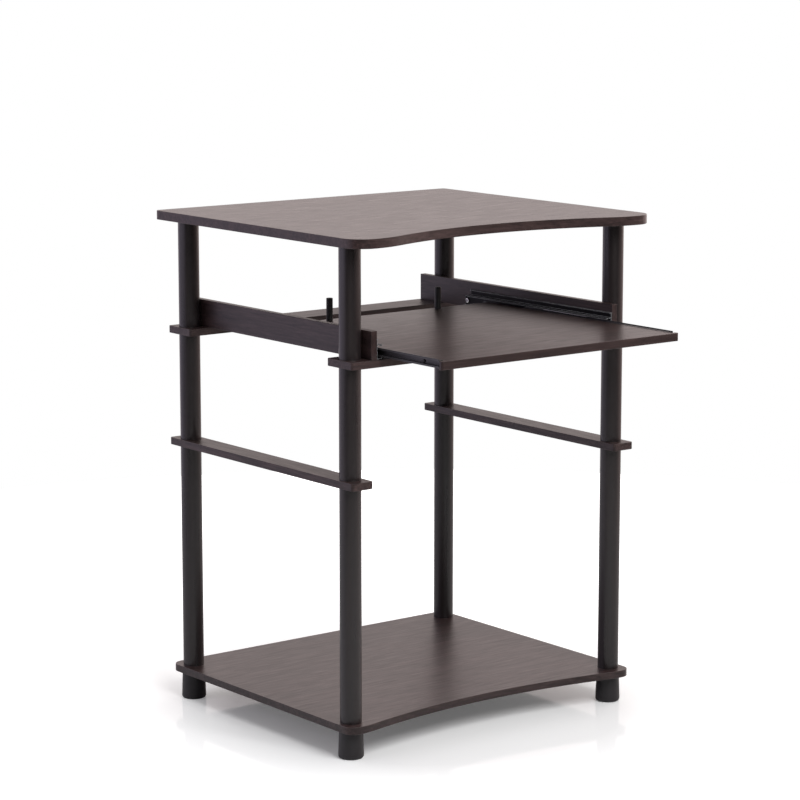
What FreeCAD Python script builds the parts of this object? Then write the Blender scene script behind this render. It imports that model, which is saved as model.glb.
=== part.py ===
import FreeCAD, Part
import os
from math import atan, cos, pi, sin

# Laptop desk: two shaped boards and two levels of strips carried on four posts,
# with a tray on ball slides. Millimetres, +Z up, the front of the desk faces -Y,
# and the tray is drawn as far out as it stands in the photograph.

# Posts
post_spacing_x = 500.0
post_spacing_y = 410.0
tube_diameter = 32.0
tube_wall = 1.6
foot_height = 42.0
lower_tube_length = 348.0
short_tube_length = 163.5

# Boards
top_thickness = 13.8
shelf_thickness = 11.0
strip_thickness = 11.0
band_thickness = 0.8
edge_ease = 0.4
strip_corner_radius = 4.0

# Top board, measured from the post centres
top_side_overhang = 32.5
top_back_overhang = 43.0
top_front_overhang = 60.0
top_front_hollow = 47.0
top_hollow_share = 0.8
top_front_radius = 34.0
top_back_radius = 8.0

# Bottom shelf and strips, measured from the post centres
shelf_side_overhang = 22.5
strip_end_overhang_x = 19.0
level_overhang_y = 30.0
shelf_front_hollow = 29.0
shelf_hollow_share = 0.9
shelf_corner_radius = 18.0
side_strip_width = 38.0

# Rails beside the tray
rail_thickness = 10.0
rail_height = 41.5
rail_end_inset = 1.0
rail_post_gap = 0.6

# Ball slides
slide_height = 21.0
slide_width = 10.0
slide_lift = 0.5
slide_length = 335.0
slide_front_inset = 1.0
slide_sheet = 1.2
slide_lip = 1.4
slide_lip_thickness = 0.8
ball_radius = 1.8
ball_play = 0.4
cage_sheet = 0.6
cage_length = 100.0
balls_per_row = 8
channel_tab_length = 14.0
channel_tab_height = 15.0
channel_flange_height = 7.8
channel_flange_lip = 3.0

# Tray
tray_thickness = 12.0
tray_depth = 430.0
tray_lift = 3.5
tray_nose = 8.0
tray_pull = 138.0
tray_corner_radius = 3.0
tray_ear_clearance = 1.4
peg_diameter = 10.0
peg_height = 34.0
peg_tenon_diameter = 6.0
peg_tenon_length = 8.0
peg_spacing = 210.0
peg_inset = 9.0

# Screwed tube joints
stud_diameter = 10.0
stud_engagement = 10.0
thread_clearance = 0.3
plug_length = 22.0
plug_clearance = 0.1
insert_diameter = 16.0
insert_margin = 1.0

# Feet
foot_top_diameter = 35.2
foot_bottom_diameter = 38.0
foot_rim_radius = 4.0

# Screws
screw_diameter = 3.5
screw_head_diameter = 7.0
rail_screw_depth = 20.0
channel_screw_depth = 7.0
channel_screw_setback = 35.0
runner_screw_head = 5.0
runner_screw_head_height = 1.8
runner_screw_depth = 12.0
runner_screw_drop = 1.0
tab_screw_head = 8.0
tab_screw_head_height = 2.4
driver_slot = 0.9

# Values worked out from the sizes above
post_x = post_spacing_x / 2
post_y = post_spacing_y / 2
tube_radius = tube_diameter / 2
tube_bore = tube_radius - tube_wall
shelf_bottom = foot_height
shelf_top = shelf_bottom + shelf_thickness
side_strip_bottom = shelf_top + lower_tube_length
side_strip_top = side_strip_bottom + strip_thickness
keyboard_strip_bottom = side_strip_top + short_tube_length
keyboard_strip_top = keyboard_strip_bottom + strip_thickness
top_bottom = keyboard_strip_top + short_tube_length
strip_front = -post_y - level_overhang_y
rail_outer = post_x - tube_radius - rail_post_gap
rail_inner = rail_outer - rail_thickness
rail_middle = (rail_outer + rail_inner) / 2
rail_half_length = post_y + level_overhang_y - rail_end_inset
slide_z = keyboard_strip_top + slide_lift + slide_height / 2
slide_face = slide_height / 2 - slide_sheet
ball_row = slide_face - ball_play - ball_radius
runner_half = ball_row - ball_radius - ball_play
cage_web = slide_sheet + ball_play
runner_tip = cage_web + cage_sheet + ball_play
ball_offset = runner_tip + slide_lip_thickness + ball_play + ball_radius
cage_tip = ball_offset + ball_radius + 2 * ball_play
channel_lip = cage_tip + ball_play
channel_front = -rail_half_length + slide_front_inset
tray_half_width = rail_inner - slide_width
tray_bottom = keyboard_strip_top + tray_lift
tray_top = tray_bottom + tray_thickness
tray_front = strip_front - tray_nose - tray_pull
tray_back = tray_front + tray_depth
runner_front = channel_front - tray_pull
tray_ear_half_width = rail_inner
tray_ear_back = -rail_half_length - tray_ear_clearance - tray_pull
cage_middle = (channel_front + runner_front + slide_length) / 2
stud_hole = stud_diameter / 2 + thread_clearance
insert_depth = stud_engagement + insert_margin

# The origin sits under the middle of everything, tray included
frame_shift = -(tray_front + post_y + top_back_overhang) / 2

up = FreeCAD.Vector(0, 0, 1)
along_x = FreeCAD.Vector(1, 0, 0)
along_y = FreeCAD.Vector(0, 1, 0)
corners = {
    "front_left": (-post_x, -post_y),
    "front_right": (post_x, -post_y),
    "back_left": (-post_x, post_y),
    "back_right": (post_x, post_y),
}
sides = {"left": -1, "right": 1}


def rod(radius, length, x, y, z, direction=up):
    return Part.makeCylinder(radius, length, FreeCAD.Vector(x, y, z), direction)


def block(x0, x1, y0, y1, z0, z1):
    return Part.makeBox(x1 - x0, y1 - y0, z1 - z0, FreeCAD.Vector(x0, y0, z0))


def upright_edges(shape):
    return [e for e in shape.Edges if abs(e.Vertexes[0].Z - e.Vertexes[-1].Z) > 1.0]


def eased(shape):
    # Takes the sharpness off the top and bottom rims of a board
    rims = [e for e in shape.Edges if abs(e.Vertexes[0].Z - e.Vertexes[-1].Z) < 0.01]
    return shape.makeChamfer(edge_ease, rims)


def flat_board(x0, x1, y0, y1, z0, z1, radius):
    board = block(x0, x1, y0, y1, z0, z1)
    return eased(board.makeFillet(radius, upright_edges(board)))


def bend(start, middle, end):
    return Part.Arc(start, middle, end).toShape()


def corner_bend(x, y, radius, side, end):
    # Round board corner: side is -1 or 1 for left or right, end is -1 or 1 for front or back
    slack = radius * (1 - cos(pi / 4))
    beside = FreeCAD.Vector(x, y - end * radius, 0)
    outermost = FreeCAD.Vector(x - side * slack, y - end * slack, 0)
    before = FreeCAD.Vector(x - side * radius, y, 0)
    return bend(beside, outermost, before)


def hollow_front_board(half_width, front, back, hollow, hollow_share, z0, thickness, front_radius, back_radius):
    # A board with rounded corners whose front edge sweeps back in a long S on each side:
    # a hollow arc takes the given share of the sweep and a swelling arc takes the rest
    reach = half_width - front_radius
    turn = 2 * atan(hollow / reach)
    sweep = reach / sin(turn)
    hollow_radius = sweep * hollow_share
    swell_radius = sweep - hollow_radius
    meet_x = hollow_radius * sin(turn)
    meet_y = front + swell_radius * (1 - cos(turn))
    swell_x = reach - swell_radius * sin(turn / 2)
    swell_y = front + swell_radius * (1 - cos(turn / 2))
    meet = [FreeCAD.Vector(side * meet_x, meet_y, 0) for side in (-1, 1)]
    edges = [bend(meet[0], FreeCAD.Vector(0, front + hollow, 0), meet[1])]
    for side, join in zip((-1, 1), meet):
        swell_end = FreeCAD.Vector(side * reach, front, 0)
        edges.append(bend(join, FreeCAD.Vector(side * swell_x, swell_y, 0), swell_end))
        x = side * half_width
        edges.append(corner_bend(x, front, front_radius, side, -1))
        edges.append(corner_bend(x, back, back_radius, side, 1))
        edges.append(Part.makeLine(
            FreeCAD.Vector(x, front + front_radius, 0), FreeCAD.Vector(x, back - back_radius, 0)))
    edges.append(Part.makeLine(
        FreeCAD.Vector(back_radius - half_width, back, 0), FreeCAD.Vector(half_width - back_radius, back, 0)))
    outline = Part.Wire(Part.__sortEdges__(edges))
    outline.translate(up * z0)
    return Part.Face(outline).extrude(up * thickness)


def core_and_band(board, z0, thickness):
    # Splits a board into its core and the thin band glued round its edge
    under = [f for f in board.Faces if abs(f.CenterOfMass.z - z0) < 0.01][0]
    inner = Part.Face(under.OuterWire.makeOffset2D(-band_thickness))
    core = inner.extrude(up * thickness)
    return core, eased(board).cut(core)


def cross_slot(x, y, z, head, direction):
    # The crossed driver recess cut into a screw head
    slot = Part.makeBox(head * 0.6, driver_slot, driver_slot * 2)
    slot.translate(FreeCAD.Vector(-head * 0.3, -driver_slot / 2, -driver_slot))
    turned = slot.copy()
    turned.rotate(FreeCAD.Vector(0, 0, 0), up, 90)
    cross = slot.fuse(turned)
    cross.Placement = FreeCAD.Placement(FreeCAD.Vector(x, y, z), FreeCAD.Rotation(up, direction))
    return cross


def flat_screw(x, y, z, depth, direction):
    # Countersunk screw: head flush at the given point, shank running along the direction
    head_depth = (screw_head_diameter - screw_diameter) / 2
    place = FreeCAD.Vector(x, y, z)
    head = Part.makeCone(screw_head_diameter / 2, screw_diameter / 2, head_depth, place, direction)
    shank = Part.makeCylinder(screw_diameter / 2, depth, place, direction)
    return head.fuse(shank).removeSplitter()


def slotted_flat_screw(x, y, z, depth, direction):
    return flat_screw(x, y, z, depth, direction).cut(cross_slot(x, y, z, screw_head_diameter, direction))


def pan_screw(x, y, z, head, head_height, depth, direction):
    # Round-headed screw: the head stands out behind the given point
    place = FreeCAD.Vector(x, y, z)
    cap = Part.makeCylinder(head / 2, head_height, place, direction * -1)
    far_rim = [e for e in cap.Edges if e.CenterOfMass.sub(place).dot(direction) < -head_height * 0.9]
    cap = cap.makeFillet(head_height * 0.6, far_rim)
    shank = Part.makeCylinder(screw_diameter / 2, depth, place, direction)
    tip = place - direction * head_height
    return cap.fuse(shank).removeSplitter().cut(cross_slot(tip.x, tip.y, tip.z, head, direction))


def sheet_profile(points, side, y0, length):
    # Extrudes a slide section given as (distance from the rail, height) along the slide
    wall = [FreeCAD.Vector(side * (rail_inner - u), y0, slide_z + h) for u, h in points]
    return Part.Face(Part.makePolygon(wall + wall[:1])).extrude(along_y * length)


parts = {}

# Feet with the stud that passes up through the bottom shelf
foot_stud_top = shelf_top + stud_engagement
for corner, (x, y) in corners.items():
    foot = Part.makeCone(foot_bottom_diameter / 2, foot_top_diameter / 2, foot_height, FreeCAD.Vector(x, y, 0))
    rim = [e for e in foot.Edges if e.Closed and e.CenterOfMass.z < 0.01]
    foot = foot.makeFillet(foot_rim_radius, rim)
    stud = rod(stud_diameter / 2, foot_stud_top - foot_height, x, y, foot_height)
    parts[corner + "_foot"] = foot.fuse(stud).removeSplitter()

# Bottom shelf with its edge band
shelf = hollow_front_board(
    post_x + shelf_side_overhang, strip_front, post_y + level_overhang_y, shelf_front_hollow,
    shelf_hollow_share, shelf_bottom, shelf_thickness, shelf_corner_radius, shelf_corner_radius)
shelf_core, shelf_band = core_and_band(shelf, shelf_bottom, shelf_thickness)
for x, y in corners.values():
    shelf_core = shelf_core.cut(rod(stud_hole, shelf_thickness, x, y, shelf_bottom))
parts["bottom_shelf"] = shelf_core
parts["bottom_shelf_edge_band"] = shelf_band

# Posts: three hollow tubes one above the other at each corner
tube_levels = {
    "lower": (shelf_top, lower_tube_length),
    "middle": (side_strip_top, short_tube_length),
    "upper": (keyboard_strip_top, short_tube_length),
}
for corner, (x, y) in corners.items():
    for level, (z, length) in tube_levels.items():
        tube = rod(tube_radius, length, x, y, z).cut(rod(tube_bore, length, x, y, z))
        parts[corner + "_" + level + "_tube"] = tube

# Threaded sockets in the lower tube ends, studs in the upper tube ends
plug_radius = tube_bore - plug_clearance
sockets = []
studs = []
top_studs = []
for x, y in corners.values():
    for level, (z, length) in tube_levels.items():
        bore = rod(stud_hole, stud_engagement + insert_margin, x, y, z)
        sockets.append(rod(plug_radius, plug_length, x, y, z).cut(bore))
        end = z + length
        plug = rod(plug_radius, plug_length, x, y, end - plug_length)
        if level == "upper":
            top_studs.append(plug.fuse(rod(stud_diameter / 2, stud_engagement, x, y, end)).removeSplitter())
        else:
            reach = strip_thickness + stud_engagement
            studs.append(plug.fuse(rod(stud_diameter / 2, reach, x, y, end)).removeSplitter())
parts["tube_socket_plugs"] = Part.makeCompound(sockets)
parts["tube_stud_plugs"] = Part.makeCompound(studs)
parts["top_stud_plugs"] = Part.makeCompound(top_studs)

# Side strips joining the front and back posts at mid height
for name, side in sides.items():
    x = side * post_x
    strip = flat_board(
        x - side_strip_width / 2, x + side_strip_width / 2, strip_front, -strip_front,
        side_strip_bottom, side_strip_top, strip_corner_radius)
    for y in (-post_y, post_y):
        strip = strip.cut(rod(stud_hole, strip_thickness, x, y, side_strip_bottom))
    parts[name + "_side_strip"] = strip

# Strips running across the front and the back, screwed to the rails above them
rail_screws = []
for name, y in (("front", -post_y), ("back", post_y)):
    strip = flat_board(
        -post_x - strip_end_overhang_x, post_x + strip_end_overhang_x,
        y - level_overhang_y, y + level_overhang_y,
        keyboard_strip_bottom, keyboard_strip_top, strip_corner_radius)
    for side in sides.values():
        strip = strip.cut(rod(stud_hole, strip_thickness, side * post_x, y, keyboard_strip_bottom))
        screw_place = (side * rail_middle, y, keyboard_strip_bottom, strip_thickness + rail_screw_depth, up)
        strip = strip.cut(flat_screw(*screw_place))
        rail_screws.append(slotted_flat_screw(*screw_place))
    parts[name + "_keyboard_strip"] = strip
parts["rail_screws"] = Part.makeCompound(rail_screws)

# Rails, slide channels, ball cages, runners and their screws on each side of the tray
channel_section = [
    (0, slide_height / 2),
    (channel_lip + slide_lip_thickness, slide_height / 2),
    (channel_lip + slide_lip_thickness, slide_face - slide_lip),
    (channel_lip, slide_face - slide_lip),
    (channel_lip, slide_face),
    (slide_sheet, slide_face),
]
channel_section += [(u, -h) for u, h in reversed(channel_section)]
flange_top = slide_height / 2 + channel_flange_height
flange_section = [
    (0, slide_face),
    (0, flange_top),
    (channel_flange_lip, flange_top),
    (channel_flange_lip, flange_top - slide_sheet),
    (slide_sheet, flange_top - slide_sheet),
    (slide_sheet, slide_face),
]
runner_inner = runner_half - slide_sheet
runner_section = [
    (slide_width, runner_half),
    (runner_tip + slide_lip_thickness, runner_half),
    (runner_tip + slide_lip_thickness, runner_half + slide_lip),
    (runner_tip, runner_half + slide_lip),
    (runner_tip, runner_inner),
    (slide_width - slide_sheet, runner_inner),
]
runner_section += [(u, -h) for u, h in reversed(runner_section)]
cage_low = runner_half + slide_lip + ball_play
cage_section = [
    (cage_web, cage_low + cage_sheet),
    (cage_tip, cage_low + cage_sheet),
    (cage_tip, cage_low),
    (cage_web + cage_sheet, cage_low),
]
cage_section += [(u, -h) for u, h in reversed(cage_section)]
channel_rear = channel_front + slide_length
channel_screw_places = (channel_front + channel_screw_setback, channel_rear - channel_screw_setback)
tab_screw_y = channel_rear + channel_tab_length / 2
runner_screw_places = [runner_front + slide_length * share for share in (0.12, 0.5, 0.88)]
ball_pitch = cage_length / balls_per_row
pocket_radius = ball_radius + ball_play / 2
channel_screws = []
tab_screws = []
runner_screws = []
for name, side in sides.items():
    inward = along_x * -side
    outward = along_x * side
    face_x = side * rail_inner
    rail = block(
        min(side * rail_inner, side * rail_outer), max(side * rail_inner, side * rail_outer),
        -rail_half_length, rail_half_length, keyboard_strip_top, keyboard_strip_top + rail_height)
    rail = rail.makeChamfer(edge_ease, rail.Edges)
    for y in (-post_y, post_y):
        rail = rail.cut(rod(screw_diameter / 2, rail_screw_depth, side * rail_middle, y, keyboard_strip_top))
    channel = sheet_profile(channel_section, side, channel_front, slide_length)
    channel = channel.fuse(sheet_profile(flange_section, side, channel_front, slide_length))
    tab_edge = side * (rail_inner - slide_sheet)
    tab = block(
        min(face_x, tab_edge), max(face_x, tab_edge), channel_rear, channel_rear + channel_tab_length,
        slide_z - channel_tab_height / 2, slide_z + channel_tab_height / 2)
    channel = channel.fuse(tab).removeSplitter()
    for y in channel_screw_places:
        place = (tab_edge, y, slide_z, slide_sheet + channel_screw_depth, outward)
        channel = channel.cut(flat_screw(*place))
        rail = rail.cut(flat_screw(*place))
        channel_screws.append(slotted_flat_screw(*place))
    tab_reach = slide_sheet + channel_screw_depth
    tab_hole = rod(screw_diameter / 2, tab_reach, tab_edge, tab_screw_y, slide_z, outward)
    channel = channel.cut(tab_hole)
    rail = rail.cut(tab_hole)
    tab_screws.append(pan_screw(
        tab_edge, tab_screw_y, slide_z, tab_screw_head, tab_screw_head_height, tab_reach, outward))
    parts[name + "_rail"] = rail
    parts[name + "_slide_channel"] = channel

    cage_start = cage_middle - cage_length / 2
    cage = sheet_profile(cage_section, side, cage_start, cage_length)
    balls = []
    ball_x = side * (rail_inner - ball_offset)
    for row in (-1, 1):
        for count in range(balls_per_row):
            y = cage_start + (count + 0.5) * ball_pitch
            z = slide_z + row * ball_row
            balls.append(Part.makeSphere(ball_radius, FreeCAD.Vector(ball_x, y, z)))
            pocket = rod(pocket_radius, 2 * ball_radius, ball_x, y, z - ball_radius)
            cage = cage.cut(pocket)
    parts[name + "_ball_cage"] = cage
    parts[name + "_slide_balls"] = Part.makeCompound(balls)

    runner = sheet_profile(runner_section, side, runner_front, slide_length)
    web_x = side * (tray_half_width + slide_sheet)
    runner_reach = slide_sheet + runner_screw_depth
    for y in runner_screw_places:
        z = slide_z - runner_screw_drop
        runner = runner.cut(rod(screw_diameter / 2, runner_reach, web_x, y, z, inward))
        runner_screws.append(pan_screw(
            web_x, y, z, runner_screw_head, runner_screw_head_height, runner_reach, inward))
    parts[name + "_slide_runner"] = runner
parts["channel_screws"] = Part.makeCompound(channel_screws)
parts["tab_screws"] = Part.makeCompound(tab_screws)
parts["runner_screws"] = Part.makeCompound(runner_screws)

# Tray with its edge band and the two rear pegs; the front of the tray is
# as wide as the space between the rails, so that its two ears cover the slide ends
tray = block(-tray_half_width, tray_half_width, tray_front, tray_back, tray_bottom, tray_top)
ears = block(-tray_ear_half_width, tray_ear_half_width, tray_front, tray_ear_back, tray_bottom, tray_top)
tray = tray.fuse(ears).removeSplitter()
tray = tray.makeFillet(tray_corner_radius, upright_edges(tray))
tray_core, tray_band = core_and_band(tray, tray_bottom, tray_thickness)
for name, side in sides.items():
    x = side * peg_spacing / 2
    y = tray_back - peg_inset
    peg = rod(peg_diameter / 2, peg_height, x, y, tray_top)
    top_rim = [e for e in peg.Edges if e.Closed and e.CenterOfMass.z > tray_top + 1]
    peg = peg.makeChamfer(edge_ease, top_rim)
    tenon = rod(peg_tenon_diameter / 2, peg_tenon_length, x, y, tray_top - peg_tenon_length)
    tray_core = tray_core.cut(tenon)
    parts[name + "_rear_peg"] = peg.fuse(tenon).removeSplitter()
    for y in runner_screw_places:
        hole_x = side * tray_half_width
        hole = rod(screw_diameter / 2, runner_screw_depth, hole_x, y, slide_z - runner_screw_drop, along_x * -side)
        tray_core = tray_core.cut(hole)
        tray_band = tray_band.cut(hole)
parts["keyboard_tray"] = tray_core
parts["keyboard_tray_edge_band"] = tray_band

# Top board with its edge band and the threaded inserts let into its underside
top = hollow_front_board(
    post_x + top_side_overhang, -post_y - top_front_overhang, post_y + top_back_overhang,
    top_front_hollow, top_hollow_share, top_bottom, top_thickness, top_front_radius, top_back_radius)
top_core, top_band = core_and_band(top, top_bottom, top_thickness)
inserts = []
for x, y in corners.values():
    seat = rod(insert_diameter / 2, insert_depth, x, y, top_bottom)
    top_core = top_core.cut(seat)
    inserts.append(seat.cut(rod(stud_hole, insert_depth, x, y, top_bottom)))
parts["top_board"] = top_core
parts["top_board_edge_band"] = top_band
parts["top_board_inserts"] = Part.makeCompound(inserts)

os.makedirs("parts", exist_ok=True)
for name, shape in parts.items():
    shape.translate(FreeCAD.Vector(0, frame_shift, 0))
    shape.exportStep("parts/" + name + ".step")
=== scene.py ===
from math import radians
import bmesh
import bpy
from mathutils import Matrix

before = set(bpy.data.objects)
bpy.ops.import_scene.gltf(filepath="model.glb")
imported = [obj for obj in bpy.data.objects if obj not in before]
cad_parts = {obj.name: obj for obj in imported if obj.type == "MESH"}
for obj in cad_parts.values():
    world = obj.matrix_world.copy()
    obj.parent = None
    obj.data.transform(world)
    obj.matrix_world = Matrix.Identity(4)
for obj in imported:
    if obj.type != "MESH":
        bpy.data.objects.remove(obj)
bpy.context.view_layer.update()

# Feet: four short tapered feet of moulded charcoal plastic. Each has a stud on its
# top face that screws up through the bottom shelf into the lowest tube of a post.
corners = ("front_left", "front_right", "back_left", "back_right")
edge_width = 0.0008
pebble_height = 0.0002


def start_group(name, inputs, outputs):
    # An empty group of shader nodes with its named sockets
    group = bpy.data.node_groups.new(name, "ShaderNodeTree")
    for socket, kind, value in inputs:
        made = group.interface.new_socket(socket, in_out="INPUT", socket_type=kind)
        if value is not None:
            made.default_value = value
    for socket, kind in outputs:
        group.interface.new_socket(socket, in_out="OUTPUT", socket_type=kind)
    return group, group.nodes.new("NodeGroupInput"), group.nodes.new("NodeGroupOutput")


def noise(tree, vector, scale, detail, roughness):
    made = tree.nodes.new("ShaderNodeTexNoise")
    made.inputs["Scale"].default_value = scale
    made.inputs["Detail"].default_value = detail
    made.inputs["Roughness"].default_value = roughness
    tree.links.new(vector, made.inputs["Vector"])
    return made.outputs["Fac"]


def spread(tree, value, low, high, to_low=0.0, to_high=1.0):
    # Stretches the range from low to high over another range, and clamps it there
    made = tree.nodes.new("ShaderNodeMapRange")
    made.inputs["From Min"].default_value = low
    made.inputs["From Max"].default_value = high
    made.inputs["To Min"].default_value = to_low
    made.inputs["To Max"].default_value = to_high
    tree.links.new(value, made.inputs["Value"])
    return made.outputs["Result"]


def mixed(tree, factor, first, second):
    # A colour between two others, each a plain colour or what another node puts out
    made = tree.nodes.new("ShaderNodeMix")
    made.data_type = "RGBA"
    tree.links.new(factor, made.inputs["Factor"])
    colour_sockets = [socket for socket in made.inputs if socket.type == "RGBA"]
    for socket, colour in zip(colour_sockets, (first, second)):
        if isinstance(colour, tuple):
            socket.default_value = (*colour, 1)
        else:
            tree.links.new(colour, socket)
    return next(socket for socket in made.outputs if socket.type == "RGBA")


# Edges, for rubbed wear and for painted edge highlights: compares the true surface
# with a softened one, and breaks the result up so that the mark comes and goes along the edge.
edge_wear_and_highlight, given, result = start_group(
    "edge wear and highlight", [("Width", "NodeSocketFloat", edge_width)], [("Mask", "NodeSocketFloat")])
softened = edge_wear_and_highlight.nodes.new("ShaderNodeBevel")
softened.samples = 12
edge_wear_and_highlight.links.new(given.outputs["Width"], softened.inputs["Radius"])
surface = edge_wear_and_highlight.nodes.new("ShaderNodeNewGeometry")
agreement = edge_wear_and_highlight.nodes.new("ShaderNodeVectorMath")
agreement.operation = "DOT_PRODUCT"
edge_wear_and_highlight.links.new(softened.outputs["Normal"], agreement.inputs[0])
edge_wear_and_highlight.links.new(surface.outputs["Normal"], agreement.inputs[1])
edge = spread(edge_wear_and_highlight, agreement.outputs["Value"], low=0.99, high=0.8)
place = edge_wear_and_highlight.nodes.new("ShaderNodeTexCoord")
blotches = noise(edge_wear_and_highlight, place.outputs["Object"], scale=45, detail=3, roughness=0.6)
patchy = spread(edge_wear_and_highlight, blotches, low=0.3, high=0.7, to_low=0.7)
worn = edge_wear_and_highlight.nodes.new("ShaderNodeMath")
worn.operation = "MULTIPLY"
edge_wear_and_highlight.links.new(edge, worn.inputs[0])
edge_wear_and_highlight.links.new(patchy, worn.inputs[1])
edge_wear_and_highlight.links.new(worn.outputs["Value"], result.inputs["Mask"])

# Fine cloudy unevenness of a moulded, drawn or coated surface.
fine_mottle, given, result = start_group(
    "fine mottle", [("Grain", "NodeSocketVector", None)],
    [("Cloud", "NodeSocketFloat"), ("Pebble", "NodeSocketFloat")])
cloud = noise(fine_mottle, given.outputs["Grain"], scale=22, detail=4, roughness=0.55)
fine_mottle.links.new(cloud, result.inputs["Cloud"])
pebbles = noise(fine_mottle, given.outputs["Grain"], scale=900, detail=2, roughness=0.5)
fine_mottle.links.new(pebbles, result.inputs["Pebble"])


def coated_material(name, dark, light, edge_colour, smooth, rough, pebble,
                    grain_scale=(1, 1, 1), ior=1.5, metallic=0.0, width=edge_width):
    # A plain coat whose colour, gloss and surface vary a little, lighter along its edges as rubbed wear or as
    # a painted highlight
    material = bpy.data.materials.new(name)
    material.use_nodes = True
    tree = material.node_tree
    shader = tree.nodes["Principled BSDF"]
    shader.inputs["IOR"].default_value = ior
    shader.inputs["Metallic"].default_value = metallic
    spot = tree.nodes.new("ShaderNodeTexCoord")
    stretch = tree.nodes.new("ShaderNodeMapping")
    stretch.inputs["Scale"].default_value = grain_scale
    tree.links.new(spot.outputs["Object"], stretch.inputs["Vector"])
    mottle = tree.nodes.new("ShaderNodeGroup")
    mottle.node_tree = fine_mottle
    tree.links.new(stretch.outputs["Vector"], mottle.inputs["Grain"])
    wear = tree.nodes.new("ShaderNodeGroup")
    wear.node_tree = edge_wear_and_highlight
    wear.inputs["Width"].default_value = width
    colour = mixed(tree, mottle.outputs["Cloud"], dark, light)
    colour = mixed(tree, wear.outputs["Mask"], colour, edge_colour)
    tree.links.new(colour, shader.inputs["Base Color"])
    dulled = spread(tree, mottle.outputs["Cloud"], low=0.3, high=0.7, to_low=smooth, to_high=rough)
    tree.links.new(dulled, shader.inputs["Roughness"])
    bump = tree.nodes.new("ShaderNodeBump")
    bump.inputs["Strength"].default_value = pebble
    bump.inputs["Distance"].default_value = pebble_height
    tree.links.new(mottle.outputs["Pebble"], bump.inputs["Height"])
    tree.links.new(bump.outputs["Normal"], shader.inputs["Normal"])
    return material


def finish_nodes(material, slot, *names):
    for name in names:
        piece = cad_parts[name]
        piece.data.materials.clear()
        piece.data.materials.append(material)


foot_plastic = coated_material(
    "foot plastic", dark=(0.016, 0.0142, 0.0156), light=(0.023, 0.0205, 0.0222),
    edge_colour=(0.05, 0.044, 0.046), smooth=0.36, rough=0.5, pebble=0.25, ior=1.42)
finish_nodes(foot_plastic, "foot_plastic", *(corner + "_foot" for corner in corners))

# Bottom shelf: a board faced with dark wood-grain laminate, its front edge hollowed in
# a long curve and a thin printed band glued round it. The feet and posts clamp it.
deep_brown = (0.024, 0.0134, 0.013)
warm_brown = (0.045, 0.0263, 0.0255)
dark_streak_brown = (0.014, 0.0077, 0.0078)
pale_streak_brown = (0.068, 0.042, 0.041)
pore_brown = (0.011, 0.0064, 0.0066)
darkest_brown = (0.008, 0.0048, 0.005)
rubbed_board = (0.075, 0.06, 0.058)
# Pale band edge: partly rubbed wear, partly a painted highlight along the thin upper edges of the edge bands.
pale_band_edge = (0.16, 0.13, 0.125)
streak_bend = 0.9
along_grain = 4
across_grain = 55
gloss_range = 0.1
pore_depth = 0.0001
laminate_grain, given, result = start_group(
    "laminate grain", [("Grain", "NodeSocketVector", None), ("Darkness", "NodeSocketFloat", 0.0)],
    [("Colour", "NodeSocketColor"), ("Gloss", "NodeSocketFloat"), ("Height", "NodeSocketFloat")])
wander = laminate_grain.nodes.new("ShaderNodeTexNoise")
wander.inputs["Scale"].default_value = 0.6
wander.inputs["Detail"].default_value = 2
laminate_grain.links.new(given.outputs["Grain"], wander.inputs["Vector"])
bent = laminate_grain.nodes.new("ShaderNodeVectorMath")
bent.operation = "MULTIPLY_ADD"
bent.inputs[1].default_value = (streak_bend, streak_bend, streak_bend)
laminate_grain.links.new(wander.outputs["Color"], bent.inputs[0])
laminate_grain.links.new(given.outputs["Grain"], bent.inputs[2])
broad = noise(laminate_grain, bent.outputs["Vector"], scale=1.1, detail=3, roughness=0.55)
streak = noise(laminate_grain, bent.outputs["Vector"], scale=5.5, detail=5, roughness=0.62)
pore = noise(laminate_grain, given.outputs["Grain"], scale=26, detail=2, roughness=0.5)
body = mixed(laminate_grain, spread(laminate_grain, broad, low=0.36, high=0.64), deep_brown, warm_brown)
dark_streak = spread(laminate_grain, streak, low=0.5, high=0.66, to_high=0.85)
body = mixed(laminate_grain, dark_streak, body, dark_streak_brown)
pale_streak = spread(laminate_grain, streak, low=0.46, high=0.3, to_high=0.8)
body = mixed(laminate_grain, pale_streak, body, pale_streak_brown)
dark_pore = spread(laminate_grain, pore, low=0.6, high=0.7, to_high=0.55)
body = mixed(laminate_grain, dark_pore, body, pore_brown)
body = mixed(laminate_grain, given.outputs["Darkness"], body, darkest_brown)
laminate_grain.links.new(body, result.inputs["Colour"])
laminate_grain.links.new(spread(laminate_grain, streak, low=0.3, high=0.7), result.inputs["Gloss"])
sunk_pore = spread(laminate_grain, pore, low=0.55, high=0.72, to_low=1, to_high=0)
laminate_grain.links.new(sunk_pore, result.inputs["Height"])


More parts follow.
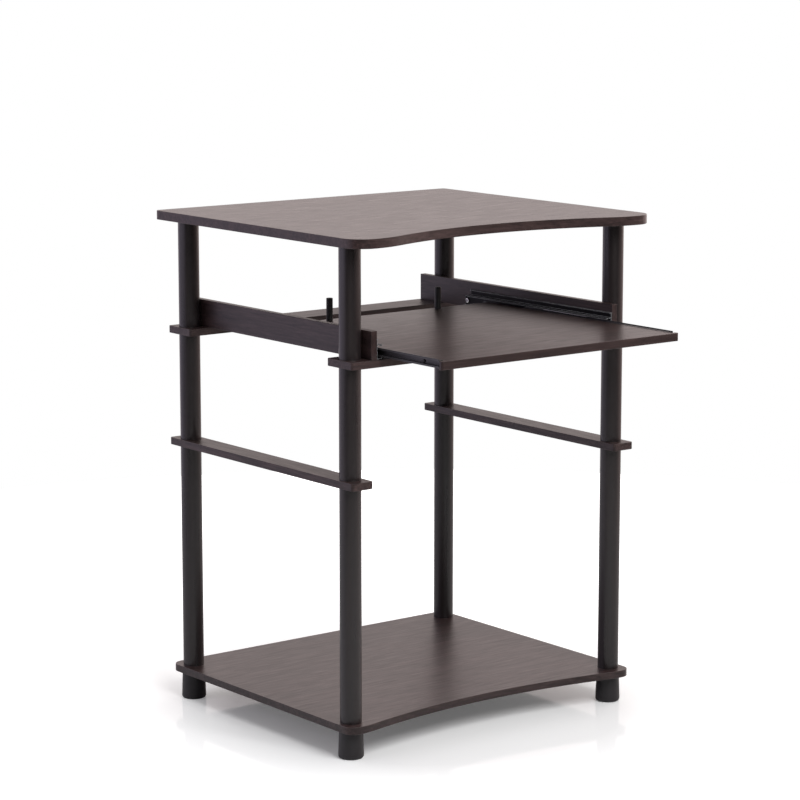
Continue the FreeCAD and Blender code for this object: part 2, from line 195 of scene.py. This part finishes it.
def laminate_material(name, along, shift, edge_colour, smooth, darkness=0.0):
    # Printed laminate whose grain runs along one axis of the desk, from its own place in the print
    material = bpy.data.materials.new(name)
    material.use_nodes = True
    tree = material.node_tree
    shader = tree.nodes["Principled BSDF"]
    shader.inputs["IOR"].default_value = 1.45
    spot = tree.nodes.new("ShaderNodeTexCoord")
    stretch = tree.nodes.new("ShaderNodeMapping")
    stretch.inputs["Scale"].default_value = [along_grain if axis == along else across_grain for axis in "xyz"]
    stretch.inputs["Location"].default_value = shift
    tree.links.new(spot.outputs["Object"], stretch.inputs["Vector"])
    grain = tree.nodes.new("ShaderNodeGroup")
    grain.node_tree = laminate_grain
    grain.inputs["Darkness"].default_value = darkness
    tree.links.new(stretch.outputs["Vector"], grain.inputs["Grain"])
    wear = tree.nodes.new("ShaderNodeGroup")
    wear.node_tree = edge_wear_and_highlight
    colour = mixed(tree, wear.outputs["Mask"], grain.outputs["Colour"], edge_colour)
    tree.links.new(colour, shader.inputs["Base Color"])
    dulled = spread(tree, grain.outputs["Gloss"], low=0, high=1, to_low=smooth, to_high=smooth + gloss_range)
    tree.links.new(dulled, shader.inputs["Roughness"])
    bump = tree.nodes.new("ShaderNodeBump")
    bump.inputs["Strength"].default_value = 0.2
    bump.inputs["Distance"].default_value = pore_depth
    tree.links.new(grain.outputs["Height"], bump.inputs["Height"])
    tree.links.new(bump.outputs["Normal"], shader.inputs["Normal"])
    return material


shelf_laminate = laminate_material(
    "shelf laminate", along="x", shift=(0, 0, 0), edge_colour=rubbed_board, smooth=0.3)
finish_nodes(shelf_laminate, "dark_laminate", "bottom_shelf")
# Painted shade: the band is a darker copy of the shelf laminate, so that its edge, lit by light bounced off
# the floor, stays dim.
shelf_band = laminate_material(
    "shelf edge band", along="x", shift=(0.5, 2, 7), edge_colour=pale_band_edge, smooth=0.3, darkness=0.2)
finish_nodes(shelf_band, "edge_band", "bottom_shelf_edge_band")

# Posts: each is three hollow tubes stacked one above the other, with a smooth satin
# charcoal brown skin drawn along their length. They are screwed end to end.
levels = ("lower", "middle", "upper")
post_skin = coated_material(
    "post skin", dark=(0.0085, 0.0075, 0.0088), light=(0.021, 0.0148, 0.0142),
    edge_colour=(0.07, 0.055, 0.056), smooth=0.26, rough=0.36, pebble=0.12, grain_scale=(6, 6, 0.2), ior=1.53)
finish_nodes(post_skin, "post_tube", *(f"{corner}_{level}_tube" for corner in corners for level in levels))

# Plugs inside the tube ends: black moulded plastic, pushed into the tubes. The lower
# ones are threaded sockets and the upper ones carry the studs that pass the strips.
plug_plastic = coated_material(
    "plug plastic", dark=(0.008, 0.008, 0.008), light=(0.015, 0.015, 0.015),
    edge_colour=(0.03, 0.03, 0.03), smooth=0.45, rough=0.6, pebble=0.3)
finish_nodes(plug_plastic, "black_plastic", "tube_socket_plugs", "tube_stud_plugs", "top_stud_plugs")

# Side strips: two narrow laminate boards at mid height, one on each side, clamped
# between the lower and the middle tubes. The grain runs from front to back.
# Pale strip edge: partly rubbed wear, partly a painted highlight along the thin edges of the strips and
# rails.
pale_strip_edge = (0.11, 0.09, 0.088)
side_laminate = laminate_material(
    "side strip laminate", along="y", shift=(7, 0, 2), edge_colour=pale_strip_edge, smooth=0.34)
finish_nodes(side_laminate, "dark_laminate", "left_side_strip", "right_side_strip")

# Cross strips: two laminate boards across the front and the back, clamped between the
# middle and the upper tubes. Countersunk black screws pass up through them.
across_laminate = laminate_material(
    "keyboard strip laminate", along="x", shift=(1, 9, 4), edge_colour=pale_strip_edge, smooth=0.36)
finish_nodes(across_laminate, "dark_laminate", "front_keyboard_strip", "back_keyboard_strip")
black_steel = coated_material(
    "black coated steel", dark=(0.010, 0.0095, 0.0105), light=(0.018, 0.017, 0.0185),
    edge_colour=(0.06, 0.06, 0.062), smooth=0.3, rough=0.44, pebble=0.1, ior=1.58)
finish_nodes(black_steel, "black_steel", "rail_screws")

# Rails: two upright laminate boards that stand on the cross strips just inside the
# posts and carry the slides. They are held from below by the strip screws.
rail_laminate = laminate_material(
    "rail laminate", along="y", shift=(2, 4, 8), edge_colour=pale_strip_edge, smooth=0.33, darkness=0.25)
finish_nodes(rail_laminate, "dark_laminate", "left_rail", "right_rail")

# Slides: a black pressed steel channel on each rail and a matching runner on each
# side of the tray, with steel balls in a thin cage rolling between the two. The lips
# of the channels carry a pale painted highlight along their edges, and a bright screw
# holds the tab at their rear end.
# Painted highlight: the slide steel's pale colour along a wide edge band marks the lips as if they caught the
# light.
slide_steel = coated_material(
    "slide steel", dark=(0.002, 0.002, 0.0025), light=(0.005, 0.005, 0.006),
    edge_colour=(0.42, 0.42, 0.44), smooth=0.34, rough=0.46, pebble=0.1, ior=1.22, width=0.0018)
finish_nodes(slide_steel, "black_steel", "left_slide_channel", "right_slide_channel")
finish_nodes(
    black_steel, "black_steel", "left_slide_runner", "right_slide_runner", "channel_screws", "runner_screws")
cage_steel = coated_material(
    "cage steel", dark=(0.3, 0.3, 0.31), light=(0.42, 0.42, 0.43),
    edge_colour=(0.5, 0.5, 0.5), smooth=0.3, rough=0.45, pebble=0.1, grain_scale=(1, 0.05, 1), metallic=1.0)
finish_nodes(cage_steel, "cage_steel", "left_ball_cage", "right_ball_cage")
ball_steel = coated_material(
    "ball steel", dark=(0.6, 0.6, 0.61), light=(0.7, 0.7, 0.71),
    edge_colour=(0.72, 0.72, 0.72), smooth=0.1, rough=0.18, pebble=0.03, metallic=1.0)
finish_nodes(ball_steel, "ball_steel", "left_slide_balls", "right_slide_balls")
bright_steel = coated_material(
    "bright steel", dark=(0.58, 0.58, 0.58), light=(0.72, 0.72, 0.71),
    edge_colour=(0.8, 0.8, 0.8), smooth=0.16, rough=0.28, pebble=0.06, metallic=1.0)
finish_nodes(bright_steel, "bright_steel", "tab_screws")

# Tray: a thin laminate board with an edge band, screwed between the runners, its front
# a little wider so that it covers the slide ends.
tray_laminate = laminate_material(
    "tray laminate", along="x", shift=(5, 2, 0), edge_colour=rubbed_board, smooth=0.29)
finish_nodes(tray_laminate, "dark_laminate", "keyboard_tray")
# Painted shade: the band is a darker copy of the tray laminate, so that its front, lit by the key light,
# stays dim.
tray_band = laminate_material(
    "tray edge band", along="x", shift=(8, 1, 6), edge_colour=pale_band_edge, smooth=0.3, darkness=0.35)
finish_nodes(tray_band, "edge_band", "keyboard_tray_edge_band")

# Rear pegs: two round black plastic pegs pushed into holes near the back edge of the
# tray. They stop things from sliding off behind.
finish_nodes(plug_plastic, "black_plastic", "left_rear_peg", "right_rear_peg")

# Top board: a laminate board with a hollowed front edge, rounded front corners and an
# edge band. The studs on top of the posts screw into plastic inserts in its underside.
top_laminate = laminate_material(
    "top laminate", along="x", shift=(0, 7, 3), edge_colour=rubbed_board, smooth=0.25)
finish_nodes(top_laminate, "dark_laminate", "top_board")
top_band = laminate_material(
    "top edge band", along="x", shift=(1.5, 3, 9), edge_colour=pale_band_edge, smooth=0.3)
finish_nodes(top_band, "edge_band", "top_board_edge_band")
finish_nodes(plug_plastic, "black_plastic", "top_board_inserts")

# Studio: a round white glossy floor that fades into a white surround, with a large
# soft light in front and a weaker one on each side. To the camera the floor also glows
# as painted light, weakly near the desk and fully beyond white_beyond, so that the
# desk's shadow on it fades out close by.
floor_radius = 1.9
floor_sides = 96
floor_white = (0.82, 0.82, 0.82)
white = (1, 1, 1)
shaded_within = 0.3
white_beyond = 0.8
least_whitening = 0.11
floor_mesh = bpy.data.meshes.new("floor")
disc = bmesh.new()
bmesh.ops.create_circle(disc, cap_ends=True, segments=floor_sides, radius=floor_radius)
disc.to_mesh(floor_mesh)
disc.free()
floor = bpy.data.objects.new("floor", floor_mesh)
bpy.context.scene.collection.objects.link(floor)
floor_paint = bpy.data.materials.new("white floor")
floor_paint.use_nodes = True
tree = floor_paint.node_tree
shader = tree.nodes["Principled BSDF"]
shader.inputs["Roughness"].default_value = 0.08
shader.inputs["IOR"].default_value = 1.2
seen = tree.nodes.new("ShaderNodeLightPath")
spot = tree.nodes.new("ShaderNodeTexCoord")
distance = tree.nodes.new("ShaderNodeVectorMath")
distance.operation = "LENGTH"
tree.links.new(spot.outputs["Object"], distance.inputs[0])
# Painted light: a glow seen only by the camera, weak near the desk and rising with distance, which limits how
# far the desk's shadow reaches.
whitening = spread(tree, distance.outputs["Value"], shaded_within, white_beyond, to_low=least_whitening)
only_camera = tree.nodes.new("ShaderNodeMath")
only_camera.operation = "MULTIPLY"
tree.links.new(whitening, only_camera.inputs[0])
tree.links.new(seen.outputs["Is Camera Ray"], only_camera.inputs[1])
tree.links.new(mixed(tree, seen.outputs["Is Camera Ray"], floor_white, white), shader.inputs["Base Color"])
shader.inputs["Emission Color"].default_value = (*white, 1)
tree.links.new(only_camera.outputs["Value"], shader.inputs["Emission Strength"])
floor_mesh.materials.append(floor_paint)

# White surround: reflections show it bright behind the desk, cooler on the left, warmer
# on the right and dark in front. It lights the desk half as much from the front.
left_hue = (0.8, 0.72, 0.9)
back_hue = (1, 0.875, 0.855)
right_hue = (0.78, 0.58, 0.55)
to_right = (0.78, -0.61, 0)
to_front = (-0.61, -0.78, 0.12)
scene = bpy.context.scene
scene.view_settings.view_transform = "Standard"
surround = bpy.data.worlds.new("white surround")
scene.world = surround
surround.use_nodes = True
tree = surround.node_tree
heading = tree.nodes.new("ShaderNodeTexCoord")


def toward(direction):
    made = tree.nodes.new("ShaderNodeVectorMath")
    made.operation = "DOT_PRODUCT"
    made.inputs[1].default_value = direction
    tree.links.new(heading.outputs["Generated"], made.inputs[0])
    return made.outputs["Value"]


right_side = toward(to_right)
front_side = toward(to_front)
hue = mixed(tree, spread(tree, right_side, low=-0.9, high=-0.2), left_hue, back_hue)
hue = mixed(tree, spread(tree, right_side, low=0.2, high=0.9), hue, right_hue)
mirrored = tree.nodes.new("ShaderNodeBackground")
tree.links.new(hue, mirrored.inputs["Color"])
mirrored_level = spread(tree, front_side, low=-0.1, high=0.6, to_low=1.0, to_high=0.1)
tree.links.new(mirrored_level, mirrored.inputs["Strength"])
lit = tree.nodes["Background"]
lit.inputs["Color"].default_value = (*white, 1)
lit_level = spread(tree, front_side, low=-0.1, high=0.6, to_low=0.48, to_high=0.26)
tree.links.new(lit_level, lit.inputs["Strength"])
plain = tree.nodes.new("ShaderNodeBackground")
plain.inputs["Color"].default_value = (*white, 1)
seen = tree.nodes.new("ShaderNodeLightPath")
base = lit.outputs["Background"]
for kind, shown in (("Is Glossy Ray", mirrored), ("Is Transmission Ray", plain), ("Is Camera Ray", plain)):
    choose = tree.nodes.new("ShaderNodeMixShader")
    factor, otherwise, then = choose.inputs
    tree.links.new(seen.outputs[kind], factor)
    tree.links.new(base, otherwise)
    tree.links.new(shown.outputs["Background"], then)
    base = choose.outputs["Shader"]
tree.links.new(base, tree.nodes["World Output"].inputs["Surface"])


def softbox(name, width, height, power, colour, location, aim):
    lamp = bpy.data.lights.new(name, "AREA")
    lamp.shape = "RECTANGLE"
    lamp.size = width
    lamp.size_y = height
    lamp.energy = power
    lamp.color = colour
    made = bpy.data.objects.new(name, lamp)
    made.location = location
    made.rotation_euler = [radians(turn) for turn in aim]
    scene.collection.objects.link(made)
    made.visible_camera = False


softbox("key light", width=1.7, height=1.7, power=74, colour=white,
        location=(-0.3, -2.3, 2.4), aim=(47, -5, 0))
softbox("left light", width=1.6, height=2.0, power=9, colour=(0.88, 0.8, 1),
        location=(-2.4, 0.6, 1.1), aim=(0, -85, 0))
softbox("right light", width=1.2, height=2.0, power=11, colour=(1, 0.87, 0.83),
        location=(2.4, 0.4, 1.1), aim=(0, 85, 0))

# Camera: stands to the front left, about half a metre above the top board, and looks
# slightly down at the desk through a long lens.
lens = bpy.data.cameras.new("camera")
lens.lens = 128.5
camera = bpy.data.objects.new("camera", lens)
camera.location = (-2.652, -3.3494, 1.2184)
camera.rotation_euler = (radians(80.2255), 0, radians(-37.8166))
scene.collection.objects.link(camera)
scene.camera = camera
